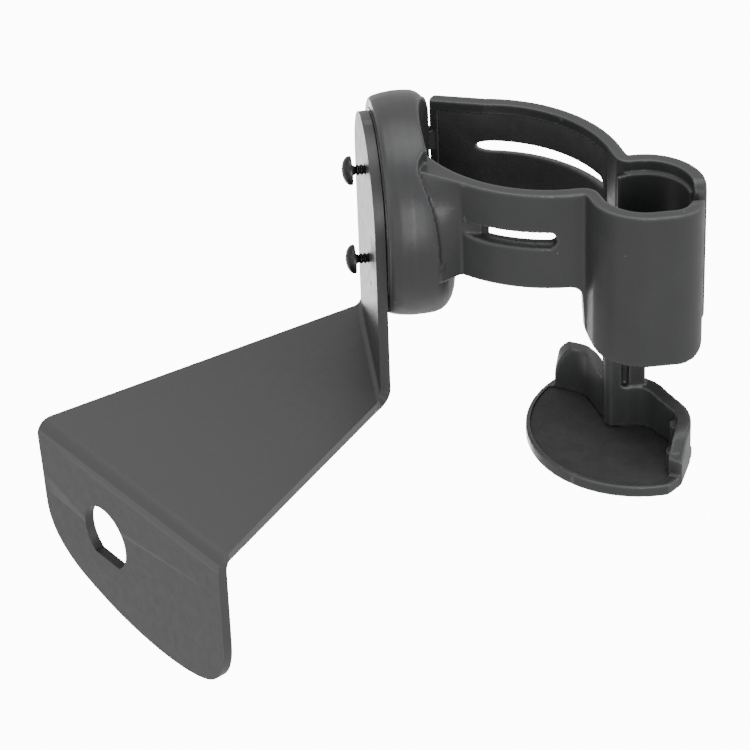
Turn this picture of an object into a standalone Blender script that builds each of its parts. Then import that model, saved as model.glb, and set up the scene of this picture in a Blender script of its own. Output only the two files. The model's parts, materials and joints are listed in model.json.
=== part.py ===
"""Swivelling clamp holder on a folded steel bracket.

Metres, +Z up.  The shapes are drawn about the swivel axis: +X runs along it
from the bracket's upright tab towards the clamp, and x = 0 is the tab's face
that carries the base disc.  One empty then moves everything so that the
origin is the centre of the D-shaped fixing hole on the flange's front face.
"""
import math

import bmesh
import bpy
from mathutils import Matrix, Vector

MM = 0.001
GAP = 0.3 * MM                          # clearance between touching pieces
ARC_STEP = math.radians(6)

# Folded steel bracket
PLATE_T = 3.2 * MM
BEND_R = 3.6 * MM                       # fold radius on the middle surface
TAB_HALF_WIDTH = 26.7 * MM
TAB_ARCH_Z = 3.5 * MM                   # centre of the arched top
PANEL_TOP_Z = -53.7 * MM
FLANGE_FAR = Vector((-111.8, -23.0)) * MM     # top corners of the flange's front face
FLANGE_NEAR = Vector((-61.5, -103.5)) * MM
FLANGE_SIDE = 40.0 * MM                 # depths below the panel of the flange's outline
FLANGE_NEAR_SIDE = 46.5 * MM
FLANGE_DEPTH = 55.2 * MM
D_HOLE_ALONG = 34.4 * MM                # from the far end of the fold
D_HOLE_DROP = 26.0 * MM                 # below the panel
D_HOLE_R = 10.75 * MM
D_HOLE_FLAT = 8.75 * MM                 # centre to flat
PIN_HOLE = Vector((-9.0, -23.0)) * MM   # y, z in the tab
PIN_HOLE_R = 1.1 * MM

# Base disc and the screws that hold it to the tab
SCREW_Y = -4.6 * MM
SCREW_Z = {"upper": 16.3 * MM, "lower": -16.3 * MM}
SCREW_R = 1.7 * MM
SCREW_HEAD_R = 4.6 * MM
SCREW_HEAD_X = (-10.7 * MM, -7.4 * MM)  # the screws stand proud of the tab
SCREW_TIP_X = 7.0 * MM
NUT_R = 3.6 * MM
NUT_X = (3.6 * MM, 6.4 * MM)
DISC_X = (0.35 * MM, 8.9 * MM)
DISC_R = 30.4 * MM
HUB_R = 9.0 * MM
HUB_X = 10.4 * MM
RING_GROOVE_R = (18.0 * MM, 23.5 * MM)
RING_GROOVE_X = 7.4 * MM
PIVOT_POCKET = (6.4 * MM, 4.6 * MM)     # radius, depth from the back
PIVOT_HEAD_R = 4.6 * MM
PIVOT_SHAFT_R = 1.7 * MM
PIVOT_TIP_X = 13.0 * MM

# Holder: drum, seat and front arm
DRUM_X = (0.6 * MM, 20.5 * MM)
DRUM_BACK_R = 33.7 * MM                 # the drum flares a little from its back edge
DRUM_FLARE_X = 9.0 * MM
DRUM_R = 35.3 * MM
DRUM_ROUND = 6.0 * MM
SEAT_CENTRE = Vector((73.8, -9.0)) * MM
SEAT_R = 60.0 * MM
RIM_Z = 25.0 * MM
ARM_HEIGHT = 33.5 * MM
ARM_T = 4.0 * MM
ARM_EDGE = 1.2 * MM                     # rounding of the strap's edges
FRONT_CENTRE = Vector((55.6, 4.0)) * MM
FRONT_R = 46.0 * MM                     # radii to the middle of the strap
REAR_CENTRE = Vector((29.7, -27.7)) * MM
REAR_R = 43.5 * MM
SLOT_HEIGHT = 5.6 * MM
SLOT_RISE = 1.3 * MM                    # of the slots above the strap's middle
SLOT_FRONT = (math.radians(237), math.radians(264.5))
SLOT_REAR = (math.radians(18), math.radians(84))
LINER_T = 0.8 * MM
LINER_RECESS = 1.1 * MM
LINER_BORDER = 3.6 * MM

# Lug formed by the two arms' ends, with the stem socket in it
LUG_CENTRE = Vector((77.6, -42.4)) * MM
LUG_R = 16.6 * MM                       # to the middle of the wall
LUG_RIGHT_X = 91.8 * MM
LUG_CORNER_R = 8.0 * MM
LUG_BOTTOM_Z = -28.8 * MM
LUG_CORNER_Z = 8.0 * MM                 # rounding of the lug's lower corners
LUG_SPLIT_Y = -43.0 * MM
SOCKET_CENTRE = Vector((77.0, -42.4)) * MM
SOCKET_R = 12.6 * MM
SOCKET_Z = (-27.8 * MM, -20.0 * MM)

# Hinge of the rear arm
HINGE = Vector((16.3, 20.6)) * MM
HINGE_NOSE_R = 3.0 * MM
HINGE_PIN_R = 1.0 * MM
TONGUE_Z = (7.4 * MM, 13.9 * MM)
TONGUE_R = 2.6 * MM
HINGE_RELIEF = ((19.5, 14), (60, 14), (60, 60), (19.5, 60))         # plans, in millimetres, of the room for the rear arm
SWING_ROOM = ((17.2, 23.9), (17.2, 25.6), (20.2, 29.4), (24, 32.5), (24, 21.6), (19.7, 21.6))
REAR_START = Vector((20.5, 20.5)) * MM
REAR_PROFILE = (69.5 * MM, 99.0 * MM, math.radians(-45))    # start and end of its lug half, heading

# Tray on its stem
STEM_X = (65.2 * MM, 77.9 * MM)
STEM_Y = (-45.0 * MM, -38.6 * MM)
STEM_TOP_Z = -5.0 * MM
STEM_GROOVE = 2.7 * MM
TRAY_CENTRE = Vector((75.6, -43.0)) * MM
TRAY_R = 34.9 * MM
TRAY_FLOOR_Z = (-65.5 * MM, -61.5 * MM)
TRAY_WALL_T = 4.2 * MM
TRAY_WALL_TOP_Z = -46.0 * MM
PAD_LIP = 2.4 * MM
PAD_T = 1.4 * MM
STOP_PIN_R = 1.2 * MM
CLIP_T = 0.6 * MM

ARM_BOTTOM_Z = RIM_Z - ARM_HEIGHT
ARM_MID_Z = RIM_Z - ARM_HEIGHT / 2
FOLD_DIR = (FLANGE_NEAR - FLANGE_FAR).normalized()
FOLD_LENGTH = (FLANGE_NEAR - FLANGE_FAR).length
FOLD_NORMAL = Vector((-FOLD_DIR.y, FOLD_DIR.x))     # from the flange towards the tab
D_HOLE = FLANGE_FAR + FOLD_DIR * D_HOLE_ALONG
ORIGIN = Vector((D_HOLE.x, D_HOLE.y, PANEL_TOP_Z - D_HOLE_DROP))

for old in list(bpy.data.objects):
    bpy.data.objects.remove(old, do_unlink=True)

parts = bpy.data.collections.new("swivel_clamp_holder")
cutters = bpy.data.collections.new("cutters")
for collection in (parts, cutters):
    bpy.context.scene.collection.children.link(collection)
anchor = bpy.data.objects.new("fixing_hole", None)
anchor.location = -ORIGIN
parts.objects.link(anchor)


# ---------------------------------------------------------------- materials
def principled(name, colour, roughness, metallic):
    """One Principled material."""
    material = bpy.data.materials.new(name)
    material.use_nodes = True
    shader = material.node_tree.nodes["Principled BSDF"]
    shader.inputs["Base Color"].default_value = (*colour, 1.0)
    shader.inputs["Roughness"].default_value = roughness
    shader.inputs["Metallic"].default_value = metallic
    return material


COATING = ((0.055, 0.055, 0.058), 0.5, 0.3)
PLASTIC = ((0.045, 0.046, 0.05), 0.42, 0.0)
FOAM = ((0.035, 0.035, 0.036), 0.9, 0.0)
STEEL = ((0.55, 0.55, 0.56), 0.35, 1.0)
BLACK_STEEL = ((0.03, 0.03, 0.032), 0.35, 0.8)
NYLON = ((0.6, 0.6, 0.57), 0.55, 0.0)


# ---------------------------------------------------------------- outlines
def arc(centre, radius, start, end):
    """Points of an arc from one angle to the other, ends included."""
    steps = max(2, math.ceil(abs(end - start) / ARC_STEP))
    angles = (start + (end - start) * i / steps for i in range(steps + 1))
    return [centre + radius * Vector((math.cos(a), math.sin(a))) for a in angles]


def rounded(points, closed=True):
    """Outline through (x, y, radius) corners; each corner gets its fillet arc."""
    outline = []
    count = len(points)
    for i, (x, y, radius) in enumerate(points):
        corner = Vector((x, y))
        if radius == 0 or (not closed and i in (0, count - 1)):
            outline.append(corner)
            continue
        before = (Vector(points[i - 1][:2]) - corner).normalized()
        after = (Vector(points[(i + 1) % count][:2]) - corner).normalized()
        half = before.angle(after) / 2
        centre = corner + (before + after).normalized() * radius / math.sin(half)
        first = corner + before * radius / math.tan(half) - centre
        last = corner + after * radius / math.tan(half) - centre
        turn = first.angle_signed(last)
        steps = max(2, math.ceil(abs(turn) / (2 * ARC_STEP)))
        outline += [centre + Matrix.Rotation(-turn * k / steps, 2) @ first for k in range(steps + 1)]
    return outline


def clean(points, least=0.05 * MM):
    """Drop points that repeat the one before."""
    kept = [points[0]]
    for point in points[1:]:
        if (point - kept[-1]).length > least:
            kept.append(point)
    return kept


# ---------------------------------------------------------------- solids
def link(name, mesh, look=None):
    """Put a mesh in the model, or among the cutters when it has no look."""
    mesh.name = name
    thing = bpy.data.objects.new(name, mesh)
    thing.parent = anchor
    if look is None:
        cutters.objects.link(thing)
        thing.hide_render = True
        thing.display_type = "WIRE"
    else:
        parts.objects.link(thing)
        mesh.materials.append(principled(name, *look))
    return thing


def curve_mesh(points, closed, half_depth, two_d):
    """Mesh of a curve with depth: a slab when closed and filled, else a ribbon."""
    curve = bpy.data.curves.new("outline", "CURVE")
    curve.dimensions = "2D" if two_d else "3D"
    if two_d:
        curve.fill_mode = "BOTH"
    curve.extrude = half_depth
    spline = curve.splines.new("POLY")
    spline.points.add(len(points) - 1)
    for target, point in zip(spline.points, points):
        target.co = (point.x, point.y, 0, 1)
    spline.use_cyclic_u = closed
    holder = bpy.data.objects.new("outline", curve)
    bpy.context.scene.collection.objects.link(holder)
    evaluated = holder.evaluated_get(bpy.context.evaluated_depsgraph_get())
    mesh = bpy.data.meshes.new_from_object(evaluated)
    bpy.data.objects.remove(holder)
    bpy.data.curves.remove(curve)
    work = bmesh.new()
    work.from_mesh(mesh)
    bmesh.ops.remove_doubles(work, verts=work.verts, dist=0.00001)
    bmesh.ops.recalc_face_normals(work, faces=work.faces)
    work.to_mesh(mesh)
    work.free()
    mesh.materials.clear()
    return mesh


UP = Matrix.Identity(4)
ALONG_Y = Matrix(((1, 0, 0, 0), (0, 0, -1, 0), (0, 1, 0, 0), (0, 0, 0, 1)))
ALONG_X = Matrix(((0, 0, 1, 0), (1, 0, 0, 0), (0, 1, 0, 0), (0, 0, 0, 1)))


def slab(name, outline, low, high, look=None, frame=UP):
    """Flat outline given thickness; frame turns its own z to another axis."""
    mesh = curve_mesh(clean(outline), True, (high - low) / 2, True)
    mesh.transform(frame @ Matrix.Translation((0, 0, (low + high) / 2)))
    return link(name, mesh, look)


def band(name, path, low, high, thickness, look=None):
    """Upright wall of even thickness that follows a path in plan."""
    mesh = curve_mesh(clean(path), False, (high - low) / 2, False)
    mesh.transform(Matrix.Translation((0, 0, (low + high) / 2)))
    wall = link(name, mesh, look)
    solid = wall.modifiers.new("thickness", "SOLIDIFY")
    solid.thickness = thickness
    solid.offset = 0
    solid.use_even_offset = True
    return wall


def turned(name, profile, look=None, frame=None, steps=40):
    """Solid of revolution from (radius, height) points run down its outer side."""
    mesh = bpy.data.meshes.new(name)
    work = bmesh.new()
    corners = [work.verts.new((radius, 0, height)) for radius, height in profile]
    for first, second in zip(corners, corners[1:]):
        work.edges.new((first, second))
    if profile[0][0] > 0:
        work.edges.new((corners[-1], corners[0]))
    work.to_mesh(mesh)
    work.free()
    thing = link(name, mesh, look)
    thing.matrix_local = frame if frame else UP
    screw = thing.modifiers.new("turn", "SCREW")
    screw.steps = steps
    screw.render_steps = steps
    screw.use_merge_vertices = True
    screw.merge_threshold = 0.00001
    return thing


def facing_x(y=0.0, z=0.0):
    """Frame whose own z runs along +X, at a place in the tab's plane."""
    return Matrix.Translation((0, y, z)) @ ALONG_X


def upright(point):
    """Frame on a vertical axis through a point of the plan."""
    return Matrix.Translation((point.x, point.y, 0))


def combine(target, tool, operation):
    """Exact Boolean of one object with another, applied to its mesh."""
    step = target.modifiers.new("boolean", "BOOLEAN")
    step.operation = operation
    step.solver = "EXACT"
    step.object = tool


def cut(target, *tools):
    for tool in tools:
        combine(target, tool, "DIFFERENCE")


def soften(thing, width, segments=2, angle=35):
    """Round the sharp edges."""
    bevel = thing.modifiers.new("edges", "BEVEL")
    bevel.width = width
    bevel.segments = segments
    bevel.limit_method = "ANGLE"
    bevel.angle_limit = math.radians(angle)
    bevel.use_clamp_overlap = True


def freeze(thing, weld=0.00002):
    """Replace an object's mesh by its evaluated one, tidied for further cuts."""
    evaluated = thing.evaluated_get(bpy.context.evaluated_depsgraph_get())
    mesh = bpy.data.meshes.new_from_object(evaluated)
    work = bmesh.new()
    work.from_mesh(mesh)
    bmesh.ops.remove_doubles(work, verts=work.verts, dist=weld)
    bmesh.ops.dissolve_degenerate(work, edges=work.edges, dist=weld / 2)
    work.to_mesh(mesh)
    work.free()
    thing.modifiers.clear()
    thing.data = mesh
    return thing


def smooth(thing, angle=35):
    thing.data.shade_smooth()
    thing.data.set_sharp_from_angle(angle=math.radians(angle))


def rod(name, point, radius, low, high, look=None, steps=20, frame=None):
    """Plain round bar, upright unless a frame turns it."""
    return turned(name, [(0, high), (radius, high), (radius, low), (0, low)], look,
                  frame if frame else upright(point), steps)


def ring(name, inner, outer, low, high, look=None, frame=None, steps=32):
    return turned(name, [(inner, high), (outer, high), (outer, low), (inner, low)], look, frame, steps)


# ---------------------------------------------------------------- bracket
def mount_plate():
    """One folded sheet: arched tab, flat panel and a flange turned down."""
    mid = PLATE_T / 2
    panel_z = PANEL_TOP_Z - mid
    fold = [FLANGE_FAR + FOLD_NORMAL * mid, FLANGE_NEAR + FOLD_NORMAL * mid]
    arch = arc(Vector((0, TAB_ARCH_Z)), TAB_HALF_WIDTH, math.pi, 0)
    edge = [(0, 0, 0), (0, -FLANGE_SIDE, 13 * MM), (24 * MM, -FLANGE_DEPTH + mid, 40 * MM),
            (62 * MM, -FLANGE_DEPTH + mid, 60 * MM), (FOLD_LENGTH, -FLANGE_NEAR_SIDE, 8 * MM),
            (FOLD_LENGTH, 0, 0)]
    work = bmesh.new()
    tab_near = work.verts.new((-mid, -TAB_HALF_WIDTH, panel_z))
    tab_far = work.verts.new((-mid, TAB_HALF_WIDTH, panel_z))
    ends = [work.verts.new((*point, panel_z)) for point in fold]
    work.faces.new((tab_far, ends[0], ends[1], tab_near))
    rim = [work.verts.new((-mid, point.x, point.y)) for point in arch]
    work.faces.new([tab_far, tab_near, *rim])
    lower = [work.verts.new((*(fold[0] + FOLD_DIR * point.x), panel_z + point.y))
             for point in rounded(edge)[1:-1]]
    work.faces.new([ends[1], ends[0], *lower])
    work.edges.ensure_lookup_table()
    weight = work.edges.layers.float.new("bevel_weight_edge")
    for edge in work.edges:
        edge[weight] = 1.0 if len(edge.link_faces) == 2 else 0.0
    mesh = bpy.data.meshes.new("mount_plate")
    work.to_mesh(mesh)
    work.free()
    plate = link("mount_plate", mesh, COATING)
    folds = plate.modifiers.new("folds", "BEVEL")
    folds.limit_method = "WEIGHT"
    folds.width = BEND_R
    folds.segments = 5
    folds.loop_slide = False
    folds.use_clamp_overlap = False
    sheet = plate.modifiers.new("thickness", "SOLIDIFY")
    sheet.thickness = PLATE_T
    sheet.offset = 0
    sheet.use_even_offset = True
    for name, z in SCREW_Z.items():
        cut(plate, rod("hole_" + name, None, SCREW_R + GAP, -6 * MM, 2 * MM, frame=facing_x(SCREW_Y, z)))
    cut(plate, rod("pin_hole", None, PIN_HOLE_R, -6 * MM, 2 * MM, frame=facing_x(*PIN_HOLE), steps=12))
    side = math.acos(D_HOLE_FLAT / D_HOLE_R)
    shape = arc(Vector((0, 0)), D_HOLE_R, side - math.pi / 2, 1.5 * math.pi - side)
    facing = Matrix.Translation((D_HOLE.x, D_HOLE.y, ORIGIN.z)) @ Matrix((
        (FOLD_DIR.x, 0, -FOLD_NORMAL.x, 0), (FOLD_DIR.y, 0, -FOLD_NORMAL.y, 0), (0, 1, 0, 0), (0, 0, 0, 1)))
    cut(plate, slab("d_hole", shape, -9 * MM, 5 * MM, frame=facing))
    soften(plate, 0.45 * MM, 1, 50)
    return plate


def tab_screws():
    """Truss-head machine screws, standing proud, with nuts captive in the disc."""
    top, under = SCREW_HEAD_X
    for name, z in SCREW_Z.items():
        outline = [(0, SCREW_TIP_X), (SCREW_R * 0.7, SCREW_TIP_X), (SCREW_R, SCREW_TIP_X - 0.4 * MM),
                   (SCREW_R, under), (SCREW_HEAD_R, under), (SCREW_HEAD_R, under - 0.7 * MM),
                   (SCREW_HEAD_R * 0.72, top + 0.5 * MM), (0, top)]
        screw = turned("screw_" + name, outline, BLACK_STEEL, facing_x(SCREW_Y, z), 20)
        for turn in (0, 90):
            blade = facing_x(SCREW_Y, z) @ Matrix.Rotation(math.radians(turn + 20), 4, "Z")
            bar = slab("cross_%s_%d" % (name, turn),
                       rounded([(-2.4 * MM, -0.4 * MM, 0), (2.4 * MM, -0.4 * MM, 0),
                                (2.4 * MM, 0.4 * MM, 0), (-2.4 * MM, 0.4 * MM, 0)]),
                       top - 1 * MM, top + 1.3 * MM, frame=blade)
            cut(screw, bar)
        smooth(screw)
        nut = turned("nut_" + name, [(SCREW_R + GAP, NUT_X[1]), (NUT_R, NUT_X[1]), (NUT_R, NUT_X[0]),
                                     (SCREW_R + GAP, NUT_X[0])], STEEL, facing_x(SCREW_Y, z), 6)
        nut.modifiers["turn"].render_steps = 6


def base_disc():
    """Disc screwed to the tab, inside the drum; its hub centres the holder."""
    disc = turned("base_disc", [(0, HUB_X), (HUB_R, HUB_X), (HUB_R, DISC_X[1]), (DISC_R - 1 * MM, DISC_X[1]),
                                (DISC_R, DISC_X[1] - 1 * MM), (DISC_R, DISC_X[0]), (0, DISC_X[0])],
                  PLASTIC, facing_x(), 56)
    pocket_r, pocket_depth = PIVOT_POCKET
    cut(disc, rod("pivot_pocket", None, pocket_r, -1 * MM, pocket_depth, frame=facing_x()))
    cut(disc, rod("pivot_bore", None, PIVOT_SHAFT_R + GAP, 2 * MM, 14 * MM, frame=facing_x()))
    cut(disc, ring("ring_groove", RING_GROOVE_R[0], RING_GROOVE_R[1], RING_GROOVE_X, 12 * MM, frame=facing_x()))
    for name, z in SCREW_Z.items():
        cut(disc, rod("disc_hole_" + name, None, SCREW_R + GAP, -1 * MM, SCREW_TIP_X + GAP,
                      frame=facing_x(SCREW_Y, z)))
        cut(disc, rod("nut_pocket_" + name, None, NUT_R + GAP, -1 * MM, NUT_X[1] + GAP,
                      frame=facing_x(SCREW_Y, z), steps=6))
    freeze(disc)
    smooth(disc)
    smooth(ring("friction_ring", RING_GROOVE_R[0] + GAP, RING_GROOVE_R[1] - GAP, RING_GROOVE_X + GAP,
                DISC_X[1] - 0.1 * MM, NYLON, facing_x()))


def swivel_fixing():
    """Screw, flat washer and wave washer that hold the holder to the disc."""
    shelf = PIVOT_POCKET[1]
    washer = shelf - GAP
    spring = washer - 1 * MM - GAP
    head = spring - 0.6 * MM - GAP
    smooth(ring("pivot_washer", PIVOT_SHAFT_R + GAP, 5.6 * MM, washer - 1 * MM, washer, STEEL, facing_x()))
    smooth(ring("spring_washer", PIVOT_SHAFT_R + GAP, 5.0 * MM, spring - 0.6 * MM, spring, STEEL, facing_x()))
    profile = [(0, PIVOT_TIP_X), (PIVOT_SHAFT_R, PIVOT_TIP_X), (PIVOT_SHAFT_R, head), (PIVOT_HEAD_R, head),
               (PIVOT_HEAD_R, head - 1 * MM), (PIVOT_HEAD_R * 0.7, 0.55 * MM), (0, 0.55 * MM)]
    smooth(turned("pivot_screw", profile, STEEL, facing_x(), 24))


# ---------------------------------------------------------------- clamp arms
def front_path():
    """Middle line of the front arm and its half of the lug."""
    strap = arc(FRONT_CENTRE, FRONT_R, math.radians(203), math.radians(269))
    lug = arc(LUG_CENTRE, LUG_R, math.radians(203), math.radians(270))
    bottom = LUG_CENTRE.y - LUG_R
    neck = Vector((60.6, -41.9)) * MM
    bend = rounded([(*strap[-1], 0), (*neck, 3.2 * MM), (*lug[0], 0)], closed=False)
    corner = rounded([(*lug[-1], 0), (LUG_RIGHT_X, bottom, LUG_CORNER_R),
                      (LUG_RIGHT_X, LUG_SPLIT_Y - 0.8 * MM, 0)], closed=False)
    return strap + bend[1:-1] + lug + corner[1:]


def rear_path():
    """Middle line of the rear arm and its half of the lug."""
    strap = arc(REAR_CENTRE, REAR_R, math.radians(80), math.radians(9))
    lug = arc(LUG_CENTRE, LUG_R, math.radians(96), math.radians(3))
    crease = Vector((73.6, -25.2)) * MM
    bend = rounded([(*strap[-1], 0), (*crease, 2.2 * MM), (*lug[0], 0)], closed=False)
    return [REAR_START] + strap + bend[1:-1] + lug


def front_lined():
    """Stretch of the front arm that is lined."""
    return arc(FRONT_CENTRE, FRONT_R, math.radians(222), math.radians(268))


def rear_lined():
    """Stretch of the rear arm that is lined."""
    strap = arc(REAR_CENTRE, REAR_R, math.radians(80), math.radians(14))
    return [REAR_START.lerp(strap[0], 0.2)] + strap


def arm_profile(name, lug_start, lug_end, heading):
    """Side shape of an arm: a level strap that drops into the deeper lug."""
    frame = Matrix.Rotation(heading, 4, "Z") @ ALONG_Y
    return slab(name, rounded([
        (0, RIM_Z, 0), (0, ARM_BOTTOM_Z, 0), (lug_start - 2 * MM, ARM_BOTTOM_Z, 5 * MM),
        (lug_start, LUG_BOTTOM_Z, LUG_CORNER_Z), (lug_end, LUG_BOTTOM_Z, LUG_CORNER_Z),
        (lug_end, RIM_Z, 0)]), -90 * MM, 90 * MM, frame=frame)


def sector(name, centre, inner, outer, angles, low, high, look=None):
    """Curved block between two radii and two angles."""
    outline = arc(centre, outer, *angles) + arc(centre, inner, *reversed(angles))
    return slab(name, outline, low, high, look)


def slot_cutter(name, centre, radius, angles):
    """Long slot through a strap, with round ends."""
    reach = 6 * MM
    low = ARM_MID_Z + SLOT_RISE - SLOT_HEIGHT / 2
    tool = sector(name, centre, radius - reach, radius + reach, angles, low, low + SLOT_HEIGHT)
    work = bmesh.new()
    work.from_mesh(tool.data)
    ends = [edge for edge in work.edges if abs(edge.calc_length() - 2 * reach) < 0.001 * MM]
    bmesh.ops.bevel(work, geom=ends, offset=SLOT_HEIGHT * 0.48, segments=4, profile=0.5, affect="EDGES",
                    clamp_overlap=False)
    work.to_mesh(tool.data)
    work.free()
    return tool


def beside(path, distance):
    """Path moved to its left by a distance."""
    moved = []
    for i, point in enumerate(path):
        along = (path[min(i + 1, len(path) - 1)] - path[max(i - 1, 0)]).normalized()
        moved.append(point + Vector((-along.y, along.x)) * distance)
    return moved


def lining(name, path, side, look=None, shrink=0.0):
    """Layer on an arm's inner face: the recess's cutter if no look is given, else the foam in it."""
    low, high = ARM_BOTTOM_Z + LINER_BORDER, RIM_Z - LINER_BORDER
    depth = ARM_T / 2 - LINER_RECESS
    if look is None:
        return band(name, beside(path, side * (depth + 2 * MM)), low, high, 4 * MM)
    middle = beside(path, side * (depth + GAP + LINER_T / 2))
    ends = [(middle[i] - middle[j]).normalized() * shrink for i, j in ((1, 0), (-2, -1))]
    middle[0] = middle[0] + ends[0]
    middle[-1] = middle[-1] + ends[1]
    return band(name, middle, low + GAP, high - GAP, LINER_T, look)


def arm(name, path, profile, lined, side, slot, look):
    """Strap with its lug half, lining recess and slot."""
    strap = band(name, path, LUG_BOTTOM_Z - 5 * MM, RIM_Z + 5 * MM, ARM_T, look)
    combine(strap, arm_profile(name + "_side", *profile), "INTERSECT")
    freeze(strap)
    soften(strap, ARM_EDGE, 2, 40)
    freeze(strap)
    cut(strap, lining(name + "_recess", lined, side), slot)
    return freeze(strap)


def holder_body():
    """Drum with the seat cut into it, the front arm and the hinge nose."""
    back, front = DRUM_X
    corner = [(DRUM_R - DRUM_ROUND + DRUM_ROUND * math.sin(a), front - DRUM_ROUND + DRUM_ROUND * math.cos(a))
              for a in (math.radians(15 * i) for i in range(7))]
    drum = turned("holder_body", [(0, front), *corner, (DRUM_R, DRUM_FLARE_X), (DRUM_BACK_R, back + 0.6 * MM),
                                  (DRUM_BACK_R - 0.6 * MM, back), (0, back)], PLASTIC, facing_x(), 64)
    seat = arc(SEAT_CENTRE, SEAT_R, math.radians(100), math.radians(260))
    nose = rounded([(10 * MM, HINGE.y - 8 * MM, 0), (HINGE.x, HINGE.y - 8 * MM, 0),
                    (HINGE.x + HINGE_NOSE_R, HINGE.y - 5 * MM, 0),
                    (HINGE.x + HINGE_NOSE_R, HINGE.y + HINGE_NOSE_R, HINGE_NOSE_R * 0.99),
                    (10 * MM, HINGE.y + HINGE_NOSE_R, 0)])
    block = slab("hinge_nose", nose, ARM_BOTTOM_Z + 2 * MM, RIM_Z - 0.5 * MM)
    combine(drum, block, "UNION")
    cut(drum, slab("seat", seat, ARM_BOTTOM_Z, 60 * MM))
    for name, plan in (("hinge_relief", HINGE_RELIEF), ("swing_room", SWING_ROOM)):
        cut(drum, slab(name, [Vector(p) * MM for p in plan], ARM_BOTTOM_Z - GAP, 60 * MM))
    freeze(drum)
    profile = (LUG_CENTRE.x - LUG_R - ARM_T / 2 + 1.5 * MM, LUG_RIGHT_X + ARM_T, 0)
    slot = slot_cutter("front_slot", FRONT_CENTRE, FRONT_R, SLOT_FRONT)
    strap = arm("front_strap", front_path(), profile, front_lined(), 1, slot, None)
    combine(drum, strap, "UNION")
    freeze(drum)
    cut(drum, rod("disc_room", None, DISC_R + GAP, -5 * MM, DISC_X[1] + GAP, frame=facing_x(), steps=48))
    cut(drum, rod("hub_pocket", None, HUB_R + GAP, 5 * MM, HUB_X + GAP, frame=facing_x()))
    cut(drum, rod("pivot_pilot", None, PIVOT_SHAFT_R + GAP, 5 * MM, PIVOT_TIP_X + GAP, frame=facing_x()))
    cut(drum, rod("tongue_room", HINGE, TONGUE_R + 1.6 * MM, TONGUE_Z[0] - GAP, TONGUE_Z[1] + GAP))
    cut(drum, rod("hinge_bore", HINGE, HINGE_PIN_R + GAP, ARM_BOTTOM_Z + 3.5 * MM, RIM_Z + 10 * MM))
    smooth(drum)
    return drum


def rear_arm():
    """Hinged arm: strap, lug half and the tongue on the hinge pin."""
    slot = slot_cutter("rear_slot", REAR_CENTRE, REAR_R, SLOT_REAR)
    strap = arm("rear_arm", rear_path(), REAR_PROFILE, rear_lined(), -1, slot, PLASTIC)
    tongue = rounded([(HINGE.x, HINGE.y - TONGUE_R, 0), (REAR_START.x + 2 * MM, HINGE.y - TONGUE_R, 0),
                      (REAR_START.x + 2 * MM, HINGE.y + 0.6 * MM, 0), (HINGE.x, HINGE.y + TONGUE_R, 0)])
    eye = arc(HINGE, TONGUE_R, math.radians(90), math.radians(270))
    combine(strap, slab("tongue", eye + tongue[1:3], *TONGUE_Z), "UNION")
    freeze(strap)
    cut(strap, rod("tongue_bore", HINGE, HINGE_PIN_R + GAP, 0, 20 * MM))
    smooth(strap)
    foam = lining("rear_liner", rear_lined(), -1, FOAM, GAP)
    cut(foam, slot)
    smooth(foam)


def hinge_pin():
    smooth(rod("hinge_pin", HINGE, HINGE_PIN_R, ARM_BOTTOM_Z + 3.5 * MM + GAP, RIM_Z - 1.5 * MM, STEEL))


# ---------------------------------------------------------------- tray
def wall_path():
    """Middle line of the tray's wall, wavy, passing behind the stem."""
    return rounded([(54.2 * MM, -18.5 * MM, 0), (63.5 * MM, -24 * MM, 9 * MM), (68.5 * MM, -43.2 * MM, 6 * MM),
                    (79 * MM, -43.2 * MM, 7 * MM), (88.2 * MM, -59 * MM, 9 * MM), (82 * MM, -74 * MM, 0)],
                   closed=False)


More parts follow.
